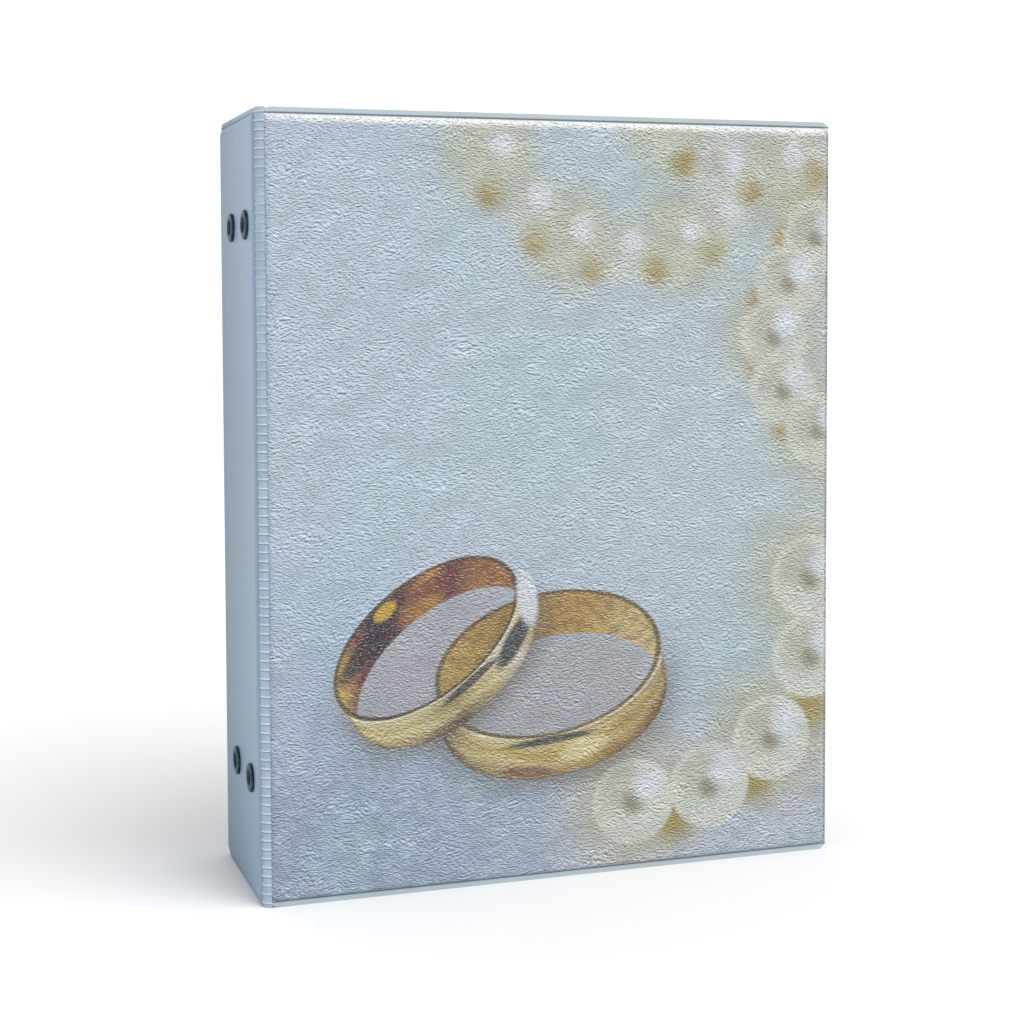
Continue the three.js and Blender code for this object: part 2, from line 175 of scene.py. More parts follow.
class Finish:
    """A material with one Principled shader."""

    def __init__(self, name, **constants):
        self.material = bpy.data.materials.new(name)
        self.material.use_nodes = True
        self.tree = self.material.node_tree
        self.shader = self.tree.nodes["Principled BSDF"]
        self.set(**constants)
        self.place = self.node("TexCoord", out="Object")

    def feed(self, socket, value):
        if isinstance(value, Value):
            self.tree.links.new(value.socket, socket)
        elif hasattr(value, "__len__") and len(socket.default_value) == 4 and len(value) == 3:
            socket.default_value = (*value, 1)
        else:
            socket.default_value = value

    def node(self, kind, settings=None, inputs=None, out=0):
        made = self.tree.nodes.new("ShaderNode" + kind)
        for name, value in (settings or {}).items():
            if name == "stops":
                stops = made.color_ramp.elements
                while len(stops) < len(value):
                    stops.new(1)
                for stop, (position, colour) in zip(stops, value):
                    stop.position = position
                    stop.color = (*colour, 1)
            else:
                setattr(made, name, value)
        for name, value in (inputs or {}).items():
            self.feed(made.inputs[name], value)
        return Value(self, made.outputs[out])

    def set(self, **inputs):
        for name, value in inputs.items():
            self.feed(self.shader.inputs[name.replace("_", " ")], value)

    def mix(self, share, first, second, blend="MIX"):
        settings = {"data_type": "RGBA", "blend_type": blend}
        return self.node("Mix", settings, {0: share, 6: first, 7: second}, out=2)

    def colours(self, value, *stops):
        return self.node("ValToRGB", {"stops": stops}, {"Fac": value})

    def spread(self, place, along, across, up):
        """Object coordinates scaled by the given numbers of repeats per metre."""
        return self.node("Mapping", {}, {"Vector": place, "Scale": (along, across, up)})

    def noise(self, place, detail=3.0, roughness=0.5, kind="FBM"):
        sockets = {"Vector": place, "Scale": 1.0, "Detail": detail, "Roughness": roughness}
        return self.node("TexNoise", {"noise_type": kind}, sockets)

    def axes(self):
        """The three Object coordinates, in metres."""
        split = self.node("SeparateXYZ", {}, {"Vector": self.place})
        outputs = split.socket.node.outputs
        return tuple(Value(self, outputs[k]) for k in range(3))

    def bump(self, height, distance, strength=1.0):
        return self.node("Bump", {}, {"Height": height, "Distance": distance, "Strength": strength})


# How much brighter the studio's light shows a surface that faces the viewer.
studio_gain = 1.42


def paint(red, green, blue):
    """The surface colour that shows as this 8-bit display colour in the studio's light."""
    def linear(level):
        level = level / 255
        return level / 12.92 if level < 0.04045 else ((level + 0.055) / 1.055) ** 2.4

    return tuple(linear(level) / studio_gain for level in (red, green, blue))


def leather_grain(finish):
    """Fine pressed creases that run mostly across the cover, with a few longer folds. Gives their
    height, and how much their upper sides face up."""
    sway_reach, step_up = 7 * mm, 0.2 * mm
    swaying = {"Vector": finish.spread(finish.place, 70, 70, 70), "Scale": 1.0, "Detail": 1.0}
    sway = finish.node("TexNoise", {}, swaying, out=1)
    push = finish.node("VectorMath", {"operation": "SCALE"}, {0: sway, "Scale": sway_reach})
    bent = finish.node("VectorMath", {"operation": "ADD"}, {0: finish.place, 1: push})
    above = finish.node("VectorMath", {"operation": "ADD"}, {0: bent, 1: (0, 0, step_up)})
    creases, higher = (finish.noise(finish.spread(at, 720, 720, 1700), 1.4, 0.55) for at in (bent, above))
    folds = finish.noise(finish.spread(bent, 30, 30, 60), 1.0, 0.4, "RIDGED_MULTIFRACTAL")
    where = finish.noise(finish.spread(finish.place, 25, 25, 25), 1.0)
    return creases - folds.ramp(0.86, 1.0) * where.ramp(0.45, 0.6) * 0.3, creases - higher


class Print:
    """A picture on vinyl, in millimetres from the spine's face and from the album's foot."""

    def __init__(self, finish):
        self.finish = finish
        x, _, z = finish.axes()
        self.along = (x - cad_left) / mm
        self.height = z / mm
        self.spot = finish.node("CombineXYZ", {}, {"X": self.along, "Y": self.height})
        self.picture = None

    def distance(self, along, height):
        sockets = {0: self.spot, 1: (along, height, 0)}
        return self.finish.node("VectorMath", {"operation": "DISTANCE"}, sockets, out="Value")

    def lay(self, share, colour):
        self.picture = self.finish.mix(share, self.picture, colour)

    def glow(self, along, height, radius, colour, share=1.0):
        self.lay(self.distance(along, height).ramp(radius, 0.2 * radius, 0, share), colour)

    def across_ellipse(self, along, height, half_long, half_short, tilt):
        """Distances along an ellipse's two axes, each as a share of its half axis."""
        turn = math.radians(tilt)
        right, up = self.along - along, self.height - height
        p = (right * math.cos(turn) + up * math.sin(turn)) / half_long
        q = (up * math.cos(turn) - right * math.sin(turn)) / half_short
        return p, q

    def smear(self, along, height, half_long, half_short, tilt, colour, share=1.0):
        """A soft slanted patch."""
        p, q = self.across_ellipse(along, height, half_long, half_short, tilt)
        self.lay((p * p + q * q).root().ramp(1.25, 0.7, 0, share), colour)

    def reflection(self, band, angle, across, half_long, half_short, colour, share):
        """A patch along a band, at an angle round its rim and a share of the way down its wall."""
        along, height, band_long, band_short, tilt, reach = band
        turn, round_rim = math.radians(tilt), math.radians(angle)
        right = band_long * math.cos(round_rim)
        up = band_short * math.sin(round_rim) - across * reach
        slope = math.degrees(math.atan2(band_short * math.cos(round_rim), -band_long * math.sin(round_rim)))
        self.smear(
            along + right * math.cos(turn) - up * math.sin(turn),
            height + right * math.sin(turn) + up * math.cos(turn),
            half_long, half_short, tilt + slope, colour, share)

    def pearl(self, along, height, radius, blur, strength=1.0):
        """A round cream bead, lit from the upper right, out of focus by the share blur."""
        edge = self.distance(along, height) / radius
        self.lay(edge.ramp(1 + blur, 1 - blur, 0, strength), paint(222, 228, 216))
        beige, olive = paint(184, 176, 158), paint(132, 120, 70)
        self.glow(along - 0.25 * radius, height + 0.3 * radius, 0.95 * radius, beige, 0.6 * strength)
        if blur < 0.3:
            rim = edge.ramp(0.78, 0.93) * edge.ramp(1.02 + blur, 0.96)
            self.lay(rim * (0.75 * strength), paint(226, 228, 216))
            self.glow(along, height - 0.05 * radius, 0.4 * radius, olive, 0.75 * strength)
        shine = self.distance(along + 0.38 * radius, height + 0.34 * radius) / radius
        self.lay(shine.ramp(0.6, 0.1, 0, 0.6 + 0.4 * strength), paint(238, 247, 255))

    def wedding_band(self, along, height, half_long, half_short, tilt, reach, outside, inside):
        """A plain gold ring, seen from above: its near rim is an ellipse, and its far rim is the
        same ellipse moved by reach towards the viewer's side, square to the long axis."""
        finish = self.finish
        p, q = self.across_ellipse(along, height, half_long, half_short, tilt)
        deep = reach / half_short
        slid = (q / -deep).ramp(0, 1)
        slid.socket.node.interpolation_type = "LINEAR"
        swept = (p * p + (q + slid * deep) ** 2).root()
        near = (p * p + q * q).root()
        far = (p * p + (q + deep) ** 2).root()
        half = (1 - p * p).root()
        crisp = 0.016
        body = swept.ramp(1 + crisp, 1 - crisp)
        hole = near.ramp(0.96 + crisp, 0.96 - crisp) * far.ramp(0.965 + crisp, 0.965 - crisp)
        outer = near.ramp(1 - crisp, 1 + crisp)
        drift = finish.noise(finish.spread(finish.place, 55, 55, 55), 2.0)
        dapple = finish.noise(finish.spread(finish.place, 260, 260, 260), 2.0)
        down = ((-1 * half) - q) / deep
        skirt = finish.colours(p * 0.5 + 0.5 + (drift - 0.5) * 0.12, *outside)
        domed = finish.colours(
            down + (drift - 0.5) * 0.5,
            (0.0, paint(112, 88, 34)),
            (0.16, paint(236, 226, 172)),
            (0.4, paint(196, 168, 84)),
            (0.6, paint(232, 216, 156)),
            (0.84, paint(132, 96, 34)),
            (1.0, paint(74, 44, 18)),
        )
        skirt = finish.mix(0.45, skirt, domed)
        up_wall = (half - q) / deep
        lining = finish.colours(
            p * 0.5 + 0.5 + (drift - 0.5) * 0.34 + (up_wall - 0.5) * 0.12, *inside)
        lining = finish.mix(dapple.ramp(0.4, 0.7, 0, 0.4), lining, paint(84, 46, 16))
        whole = finish.mix(outer, lining, skirt)
        rim = near.ramp(0.955 - crisp, 0.955 + crisp) * near.ramp(1 + crisp, 1 - crisp)
        whole = finish.mix(rim * 0.8, whole, paint(66, 52, 22))
        lip = near.ramp(1.0, 1.012) * near.ramp(1.05, 1.02) * (q * -1).ramp(-0.6, 0.2)
        whole = finish.mix(lip * 0.75, whole, paint(248, 242, 206))
        edge = swept.ramp(0.955, 1.0) * outer
        whole = finish.mix(edge * 0.55, whole, paint(96, 70, 30))
        shadow = (p * p + (q + slid * deep + 0.1) ** 2).root().ramp(1.3, 0.85, 0, 0.62)
        shadow = shadow * (q + 0.2).ramp(0.35, -0.35)
        self.lay(shadow * (1 - hole), paint(104, 92, 72))
        self.lay(body * (1 - hole), whole)


def printed_vinyl(name, with_bands):
    """Pale frosted paper with strings of pearls, and on the front a pair of gold bands."""
    finish = Finish(name, Roughness=0.42, IOR=1.5)
    art = Print(finish)
    base = finish.mix(art.height.ramp(10, 150), paint(158, 177, 203), paint(197, 220, 237))
    base = finish.mix(art.along.ramp(20, 215, 0, 0.6), base, paint(206, 220, 224))
    cloud = finish.noise(finish.spread(finish.place, 16, 16, 16), 2.0)
    base = finish.mix(cloud.ramp(0.42, 0.7, 0, 0.5), base, paint(211, 215, 238))
    base = finish.mix(cloud.ramp(0.5, 0.25, 0, 0.4), base, paint(188, 216, 226))
    art.picture = base

    # Frosted cloth along the foot, in soft tufts.
    tufts = finish.noise(finish.spread(finish.place, 170, 170, 230), 4.0, 0.65)
    drape = finish.noise(finish.spread(finish.place, 24, 24, 34), 2.0)
    reach = drape * 110 + art.along * 0.16
    cloth = (art.height + reach * 0.4).ramp(118, 60)
    art.lay(cloth * tufts.ramp(0.48, 0.68) * 0.5, paint(214, 220, 234))
    art.lay(cloth * tufts.ramp(0.5, 0.3) * 0.35, paint(140, 152, 172))

    # Strings of pearls hang in arcs, the far ones out of focus, over a warm ground with gold in
    # the gaps between the beads.
    sand, gold = paint(200, 194, 150), paint(172, 148, 30)
    shake = random.Random(11)
    strings = (
        # middle of the arc, its radius, first and last angle, beads, bead radius, blur, strength
        (140, 290, 60, 205, 310, 6, 12, 0.4, 0.5),
        (190, 300, 40, 215, 320, 4, 12, 0.35, 0.6),
        (250, 200, 50, 130, 230, 5, 13, 0.2, 0.85),
        (150, 90, 65, 262, 374, 5, 16, 0.06, 0.95),
    )
    for middle, level, arc, first, last, beads, radius, blur, strength in strings:
        angles = [math.radians(first + (last - first) * k / (beads - 1)) for k in range(beads)]
        spots = [(middle + arc * math.cos(angle) + shake.uniform(-2, 2),
                  level + arc * math.sin(angle) + shake.uniform(-2, 2)) for angle in angles]
        for along, height in spots[::2]:
            art.glow(along, height, 2.6 * radius, sand, 0.75)
        for before, after in zip(angles, angles[1:]):
            gap = (before + after) / 2
            far = arc + 0.5 * radius
            art.glow(middle + far * math.cos(gap), level + far * math.sin(gap), 0.8 * radius, gold, 0.85)
        for along, height in spots:
            art.pearl(along, height, radius, blur, strength)

    # The welded rim is pressed thin, so the picture is greyer there; the dark line along the groove is
    # painted shade.
    top = cad_top / mm
    inward = finish.node("Math", {"operation": "MINIMUM"}, {0: art.height, 1: top - art.height})

    if with_bands:
        # middle, half axes, tilt, and how far below the near rim the far one shows
        right_band = (108, 80, 44.5, 26.5, 9, 15.5)
        left_band = (61, 92.5, 39.5, 21.5, 35, 13)
        for along, height, half_long, half_short, tilt, reach in (right_band, left_band):
            art.smear(along, height - reach / 2, half_long, half_short, tilt, paint(178, 172, 174), 0.7)
        art.wedding_band(
            *right_band,
            outside=(
                (0.0, paint(96, 52, 30)),
                (0.18, paint(206, 188, 122)),
                (0.42, paint(186, 150, 62)),
                (0.56, paint(220, 196, 116)),
                (0.8, paint(168, 124, 30)),
                (1.0, paint(140, 104, 30)),
            ),
            inside=(
                (0.0, paint(196, 166, 80)),
                (0.35, paint(170, 128, 42)),
                (0.7, paint(196, 156, 70)),
                (1.0, paint(222, 204, 140)),
            ),
        )
        art.wedding_band(
            *left_band,
            outside=(
                (0.0, paint(196, 184, 128)),
                (0.26, paint(208, 198, 148)),
                (0.45, paint(126, 110, 58)),
                (0.62, paint(216, 204, 150)),
                (0.8, paint(244, 244, 236)),
                (0.92, paint(222, 210, 150)),
                (1.0, paint(122, 96, 40)),
            ),
            inside=(
                (0.0, paint(206, 176, 84)),
                (0.2, paint(120, 38, 30)),
                (0.34, paint(36, 24, 34)),
                (0.48, paint(88, 24, 28)),
                (0.6, paint(196, 138, 40)),
                (0.72, paint(104, 30, 30)),
                (0.9, paint(170, 110, 44)),
            ),
        )
        ink, cream, wine = paint(24, 34, 42), paint(232, 240, 248), paint(96, 44, 34)
        for band, angle, across, half_long, half_short, colour, share in (
            (left_band, -50, 0.4, 12, 3.5, ink, 0.95),
            (left_band, -85, 0.15, 14, 1.5, ink, 0.9),
            (left_band, -15, 0.5, 10, 4, cream, 0.95),
            (left_band, 120, 0.6, 16, 3.5, paint(40, 12, 30), 0.85),
            (left_band, 70, 0.5, 10, 3, paint(120, 30, 30), 0.7),
            (left_band, 100, 0.3, 5, 2.5, paint(232, 188, 24), 0.85),
            (left_band, -110, 0.9, 10, 2, wine, 0.55),
            (right_band, -95, 0.1, 18, 1.5, ink, 0.85),
            (right_band, -110, 0.8, 10, 2, wine, 0.65),
            (right_band, -80, 0.5, 10, 3.5, paint(240, 226, 172), 0.7),
        ):
            art.reflection(band, angle, across, half_long, half_short, colour, share)
    art.lay(inward.ramp(2.3, 2.1, 0, 0.8), paint(196, 210, 216))
    # Painted shade: a dark line laid along the groove inside the rim.
    art.lay(inward.ramp(1.65, 1.85) * inward.ramp(2.3, 2.1) * 0.8, paint(84, 104, 116))
    # Painted highlight: white laid on the cover's top shoulder, where its edge rolls over towards the
    # light.
    painted_shoulder_highlight = inward.ramp(2.2, 2.6) * inward.ramp(6.0, 2.8) * art.height.ramp(140, 240)
    art.lay(painted_shoulder_highlight * 0.9, (1, 1, 1))
    grain, crease_light_side = leather_grain(finish)
    pressed = inward.ramp(2.0, 3.2)
    # Painted light and shade on the grain: the upper sides of the creases are lightened towards white and
    # their lower sides darkened, as by a light from above.
    picture = finish.mix(crease_light_side.ramp(0.02, 0.2) * pressed * 0.6, art.picture, (1, 1, 1), "OVERLAY")
    picture = finish.mix(crease_light_side.ramp(0.04, 0.2) * pressed * 0.45, picture, paint(255, 255, 255))
    picture = finish.mix(crease_light_side.ramp(0.02, -0.2) * pressed * 0.75, picture, paint(84, 98, 112))
    finish.set(Base_Color=picture, Roughness=grain.ramp(0.4, 0.8, 0.44, 0.3))
    finish.set(Normal=finish.bump(grain * pressed, 1.4 * mm, 1.0))
    return finish


def standing(shape, across, up, origin):
    """Turns a flat shape so that its x and y run along two world directions from an origin."""
    out = Vector(across).cross(Vector(up))
    columns = Matrix((across, up, out)).transposed().to_4x4()
    bmesh.ops.transform(shape, matrix=Matrix.Translation(origin) @ columns, verts=shape.verts)


def finished(name, shape, body, slot, node, *materials, smooth=35):
    """Makes a piece of a shape, with soft shading below the given edge angle, on a body."""
    mesh = bpy.data.meshes.new(name)
    for face in shape.faces:
        face.smooth = True
    for edge in shape.edges:
        edge.smooth = len(edge.link_faces) != 2 or edge.calc_face_angle() < math.radians(smooth)
    shape.to_mesh(mesh)
    shape.free()
    for finish in materials:
        mesh.materials.append(finish.material)
    thing = bpy.data.objects.new(name, mesh)
    scene.collection.objects.link(thing)
    if body:
        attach(thing, body)
    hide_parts(node)
    return thing


def welded_sheet(width, height, rise, left_rim=0.0, right_rim=0.0):
    """A vinyl sheet from the weld plane outwards, its left side at x = 0 and its foot at y = 0.
    The rims at its sides are as wide as given, and the top and bottom ones are whole."""
    rim, groove, groove_depth, corner, shoulder = 2.2 * mm, 0.7 * mm, 0.32 * mm, 4.9 * mm, 2.2 * mm
    flat, edge_round = 0.4 * mm, 0.1 * mm
    left, right = rim - left_rim, rim - right_rim
    sheet = bmesh.new()
    bmesh.ops.create_grid(sheet, x_segments=1, y_segments=1, size=0.5)
    full = width + left + right
    bmesh.ops.scale(sheet, vec=(full, height, 1), verts=sheet.verts)
    bmesh.ops.translate(sheet, vec=(full / 2 - left, height / 2, flat), verts=sheet.verts)
    bmesh.ops.bevel(sheet, geom=sheet.verts[:], offset=corner, segments=6, profile=0.5,
                    affect="VERTICES", material=-1)
    steps = [(edge_round, edge_round), (rim - groove - edge_round, 0.0)]
    steps += [(groove / 2, -groove_depth), (groove / 2, 0.0)]
    turns = 7
    climb = rise - flat - edge_round + groove_depth
    for k in range(turns):
        before, after = (math.radians(90 * j / turns) for j in (k, k + 1))
        inwards = shoulder * (math.cos(before) - math.cos(after))
        steps.append((inwards, climb * (math.sin(after) - math.sin(before))))
    for thickness, depth in steps:
        bmesh.ops.inset_region(sheet, faces=[max(sheet.faces, key=lambda face: face.calc_area())],
                               thickness=thickness, depth=depth, use_boundary=True, use_even_offset=True)
    for side, normal in ((0, -1), (width, 1)):
        bmesh.ops.bisect_plane(
            sheet, geom=sheet.verts[:] + sheet.edges[:] + sheet.faces[:], dist=1e-6,
            plane_co=(side, 0, 0), plane_no=(normal, 0, 0), clear_outer=True)
    return sheet


def with_thickness(thing, thickness):
    wall = thing.modifiers.new("wall", "SOLIDIFY")
    wall.thickness = thickness
    wall.offset = -1
    wall.use_even_offset = True


skin_thickness = 0.45 * mm
fore_edge_rim = 0.9 * mm
cad_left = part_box("spine_skin")[0].x
cad_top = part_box("spine_skin")[1].z
front_print = printed_vinyl("front_printed_vinyl", True)
back_print = printed_vinyl("back_printed_vinyl", False)
for word, out, art in (("front", -1, front_print), ("back", 1, back_print)):
    node = f"{word}_cover_skin"
    low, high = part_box(node)
    face = low.y if out < 0 else high.y
    weld = high.y if out < 0 else low.y
    sheet = welded_sheet(high.x - low.x, high.z - low.z, abs(face - weld), right_rim=fore_edge_rim)
    if out < 0:
        standing(sheet, (1, 0, 0), (0, 0, 1), (low.x, weld, low.z))
    else:
        standing(sheet, (1, 0, 0), (0, 0, -1), (low.x, weld, high.z))
    skin = finished(f"{word}_cover_vinyl", sheet, f"{word}_cover", "printed_vinyl", node, art)
    with_thickness(skin, skin_thickness)

# Spine skin -------------------------------------------------------------------------------------
# The spine's outside is the same vinyl without a picture: blue-grey, with a much finer grain.
# It is welded at the top and bottom, and joins the hinge bands at its sides.

spine_vinyl = Finish("spine_vinyl", Roughness=0.4, IOR=1.5)
tone = spine_vinyl.noise(spine_vinyl.spread(spine_vinyl.place, 20, 20, 9), 3.0)
speck = spine_vinyl.noise(spine_vinyl.spread(spine_vinyl.place, 1400, 1400, 1400), 2.0)
spine_low, spine_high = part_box("spine_skin")
# Painted shade and light: the spine's colour runs from dark at its back edge to pale at its front edge.
painted_spine_shade = spine_vinyl.axes()[1].ramp(spine_high.y, spine_low.y)
painted_spine_shade.socket.node.interpolation_type = "LINEAR"
plain = spine_vinyl.mix(painted_spine_shade, paint(84, 122, 150), paint(154, 184, 210))
plain = spine_vinyl.mix(tone.ramp(0.35, 0.7, 0, 0.15), plain, paint(156, 168, 200))
plain = spine_vinyl.mix(speck.ramp(0.3, 0.75, 0, 0.16), plain, paint(128, 144, 162))
spine_vinyl.set(Base_Color=plain, Roughness=speck.ramp(0.3, 0.7, 0.46, 0.36))
press = speck * 0.6 + spine_vinyl.noise(spine_vinyl.spread(spine_vinyl.place, 60, 60, 25), 2.0) * 2.0
spine_vinyl.set(Normal=spine_vinyl.bump(press, 0.12 * mm, 0.7))

low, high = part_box("spine_skin")
sheet = welded_sheet(high.y - low.y, high.z - low.z, high.x - low.x)
standing(sheet, (0, -1, 0), (0, 0, 1), (high.x, high.y, low.z))
skin = finished("spine_vinyl", sheet, "spine", "spine_vinyl", "spine_skin", spine_vinyl)
with_thickness(skin, skin_thickness)

# Linings ----------------------------------------------------------------------------------------
# The inside of each panel is a plain white vinyl sheet with a satin pebble, welded to the skin
# along the same rims.

lining_vinyl = Finish("lining_vinyl", Roughness=0.5, IOR=1.5)
pebble = lining_vinyl.node(
    "TexVoronoi", {"feature": "SMOOTH_F1"},
    {"Vector": lining_vinyl.place, "Scale": 900.0, "Smoothness": 0.6}, out="Distance")
haze = lining_vinyl.noise(lining_vinyl.spread(lining_vinyl.place, 14, 14, 14), 3.0)
lining_vinyl.set(
    Base_Color=lining_vinyl.mix(haze.ramp(0.3, 0.7), paint(222, 226, 230), paint(234, 236, 236)),
    Roughness=pebble.ramp(0.1, 0.6, 0.42, 0.56),
    Normal=lining_vinyl.bump(pebble + haze * 3.0, 0.12 * mm, 0.6),
)
for word, out in (("front", -1), ("back", 1), ("spine", 0)):
    node = "spine_lining" if word == "spine" else f"{word}_cover_lining"
    low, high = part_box(node)
    if word == "spine":
        sheet = welded_sheet(high.y - low.y, high.z - low.z, high.x - low.x)
        standing(sheet, (0, 1, 0), (0, 0, 1), (low.x, low.y, low.z))
    else:
        sheet = welded_sheet(high.x - low.x, high.z - low.z, high.y - low.y, right_rim=fore_edge_rim)
        if out < 0:
            standing(sheet, (1, 0, 0), (0, 0, -1), (low.x, low.y, high.z))
        else:
            standing(sheet, (1, 0, 0), (0, 0, 1), (low.x, high.y, low.z))
    body = word if word == "spine" else f"{word}_cover"
    inside = finished(f"{body}_inner_vinyl", sheet, body, "lining_vinyl", node, lining_vinyl)
    with_thickness(inside, skin_thickness)

# Boards -----------------------------------------------------------------------------------------
# Greyboard inside each panel, sealed in by the two vinyl sheets: pressed fibres with darker flecks.

greyboard = Finish("greyboard", Roughness=0.9)
fibre = greyboard.noise(greyboard.spread(greyboard.place, 500, 500, 1500), 3.0)
fleck = greyboard.noise(greyboard.spread(greyboard.place, 900, 900, 900), 1.0)
pulp = greyboard.mix(fibre.ramp(0.35, 0.7), paint(128, 121, 110), paint(154, 147, 136))
greyboard.set(
    Base_Color=greyboard.mix(fleck.ramp(0.68, 0.74, 0, 0.7), pulp, paint(84, 78, 70)),
    Normal=greyboard.bump(fibre, 0.1 * mm),
)
for node in ("front_cover_board", "back_cover_board", "spine_board"):
    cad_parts[node].data.materials.clear()
    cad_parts[node].data.materials.append(greyboard.material)

# Hinge bands ------------------------------------------------------------------------------------
# Between the spine and each cover the two vinyl sheets are welded together into a soft band. The
# welding bar leaves a ladder of small raised rungs across it, between two beads along its sides.

welded_vinyl = Finish("welded_vinyl", Roughness=0.34, IOR=1.5)
melt = welded_vinyl.noise(welded_vinyl.spread(welded_vinyl.place, 300, 300, 120), 2.0)
band_low, band_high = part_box("front_hinge_band")
rung_pitch = 3.2 * mm
rungs = round((band_high.z - band_low.z) / rung_pitch)
beat = (welded_vinyl.axes()[2] - band_low.z) / ((band_high.z - band_low.z) / rungs)
beat = beat - beat.whole()
# Painted highlight along the crest of each rung and painted shade on its underside, with a strength that
# varies unevenly along the band.
rung_light_strength = welded_vinyl.noise(welded_vinyl.spread(welded_vinyl.place, 60, 60, 14), 1.0).ramp(0.4, 0.6, 0.35, 1)
seam = welded_vinyl.mix(melt.ramp(0.35, 0.7), paint(172, 194, 214), paint(188, 208, 226))
seam = welded_vinyl.mix(beat.ramp(0.4, 0.5) * beat.ramp(0.64, 0.54) * rung_light_strength, seam, paint(236, 242, 252))
rung_underside_shade = beat.ramp(0.26, 0.36) * beat.ramp(0.46, 0.38)
seam = welded_vinyl.mix(rung_underside_shade * rung_light_strength * 0.7, seam, paint(96, 112, 132))
welded_vinyl.set(
    Base_Color=seam,
    Roughness=melt.ramp(0.3, 0.7, 0.38, 0.26),
    Normal=welded_vinyl.bump(melt, 0.15 * mm, 0.5),
)
rows_per_rung = 10
columns = 14
band_thickness = 0.8 * mm

for word, out in (("front", -1), ("back", 1)):
    low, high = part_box(f"{word}_hinge_band")
    spine_edge = Vector((low.x, low.y if out > 0 else high.y))
    cover_edge = Vector((high.x, high.y if out > 0 else low.y))
    band = bmesh.new()
    bmesh.ops.create_grid(band, x_segments=columns, y_segments=rungs * rows_per_rung, size=0.5)
    tuck = 0.6 * mm
    bend = Vector((low.x, cover_edge.y))
    spine_edge.y -= out * tuck
    cover_edge.x += tuck
    for vertex in band.verts:
        along = vertex.co.x + 0.5
        up = vertex.co.y + 0.5
        near = spine_edge.lerp(bend, along)
        far = bend.lerp(cover_edge, along)
        on_curve = near.lerp(far, along)
        heading = (far - near).normalized()
        outward = Vector((heading.y, -heading.x)) * (-1 if out > 0 else 1)
        beat = (up * rungs) % 1
        rung = math.exp(-(((beat - 0.5) / 0.12) ** 2)) * min(1, 8 * along, 8 * (1 - along))
        bead = math.exp(-(((along - 0.12) / 0.07) ** 2)) + 0.8 * math.exp(-(((along - 0.9) / 0.06) ** 2))
        lift = (0.4 * rung + 0.2 * bead - 0.1) * mm
        spot = on_curve + outward * lift
        vertex.co = (spot.x, spot.y, low.z + up * (high.z - low.z))
    for face in band.faces:
        if out > 0:
            face.normal_flip()
    hinge = finished(
        f"{word}_hinge_band_vinyl", band, None, "spine_vinyl", f"{word}_hinge_band", welded_vinyl,
        smooth=180)
    with_thickness(hinge, band_thickness)
    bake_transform(hinge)

# Rivets -----------------------------------------------------------------------------------------
# Four hollow rivets of dark burnished steel hold the ring mechanism. Each has a rolled head on the
# spine that dips into its bore, and its other end is clenched on the base plate.

gunmetal = Finish("gunmetal", Metallic=1.0)
burnish = gunmetal.noise(gunmetal.spread(gunmetal.place, 420, 420, 420), 3.0)
gunmetal.set(
    Base_Color=gunmetal.mix(burnish.ramp(0.35, 0.7), paint(44, 66, 78), paint(74, 98, 110)),
    Roughness=burnish.ramp(0.3, 0.75, 0.4, 0.5),
    Normal=gunmetal.bump(burnish, 0.03 * mm, 0.3),
)
# Painted shade: the bore, closed by a floor near its far end, is near black, standing in for the dark of a
# deep hole.
painted_bore_shade = Finish("painted_bore_shade", Roughness=0.6)
bore_shade_mottle = painted_bore_shade.noise(painted_bore_shade.spread(painted_bore_shade.place, 300, 300, 300), 2.0)
painted_bore_shade.set(Base_Color=painted_bore_shade.mix(bore_shade_mottle, (0.001, 0.001, 0.002), (0.008, 0.008, 0.01)))
for k in range(1, 5):
    low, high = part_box(f"spine_rivet_{k}")
    middle = (low + high) / 2
    head = (high.z - low.z) / 2
    deep = high.x - low.x
    seat = 1.5 * mm
    floor_depth = deep - 1.4 * mm
    # radius over the head's, and distance from the outermost point of the head
    profile = (
        (0.0, floor_depth), (0.49, floor_depth), (0.50, 1.4 * mm), (0.515, 0.9 * mm), (0.55, 0.55 * mm),
        (0.62, 0.34 * mm), (0.72, 0.3 * mm), (0.80, 0.42 * mm), (0.86, 0.5 * mm), (0.92, 0.46 * mm),
        (0.97, 0.62 * mm), (1.0, 0.95 * mm), (0.98, seat), (0.6, seat), (0.58, seat + 0.4 * mm),
        (0.58, deep - 0.8 * mm), (0.8, deep - 0.8 * mm), (0.84, deep - 0.5 * mm), (0.8, deep - 0.12 * mm),
        (0.66, deep), (0.52, deep), (0.50, floor_depth + 0.3 * mm), (0.0, floor_depth + 0.3 * mm),
    )
    rivet = bmesh.new()
    line = [rivet.verts.new((low.x + far, middle.y, middle.z + radius * head)) for radius, far in profile]
    for start, end in zip(line, line[1:]):
        rivet.edges.new((start, end))
    bmesh.ops.spin(rivet, geom=rivet.verts[:] + rivet.edges[:], cent=middle, axis=(1, 0, 0),
                   angle=2 * math.pi, steps=56, use_merge=True)
    bmesh.ops.remove_doubles(rivet, verts=rivet.verts, dist=1e-6)
    bmesh.ops.recalc_face_normals(rivet, faces=rivet.faces)
    for face in rivet.faces:
        spot = face.calc_center_median()
        from_axis = math.hypot(spot.y - middle.y, spot.z - middle.z) / head
        face.material_index = 1 if from_axis < 0.53 else 0
    finished(f"hollow_rivet_{k}", rivet, "spine", "gunmetal", f"spine_rivet_{k}", gunmetal, painted_bore_shade,
             smooth=60)

# Ring mechanism ---------------------------------------------------------------------------------
# Nickel-plated steel: a base plate and an arched housing, with a lever on a cross pin at each end.
# They are cut from the mechanism's own solids, with every edge broken so that it catches light.

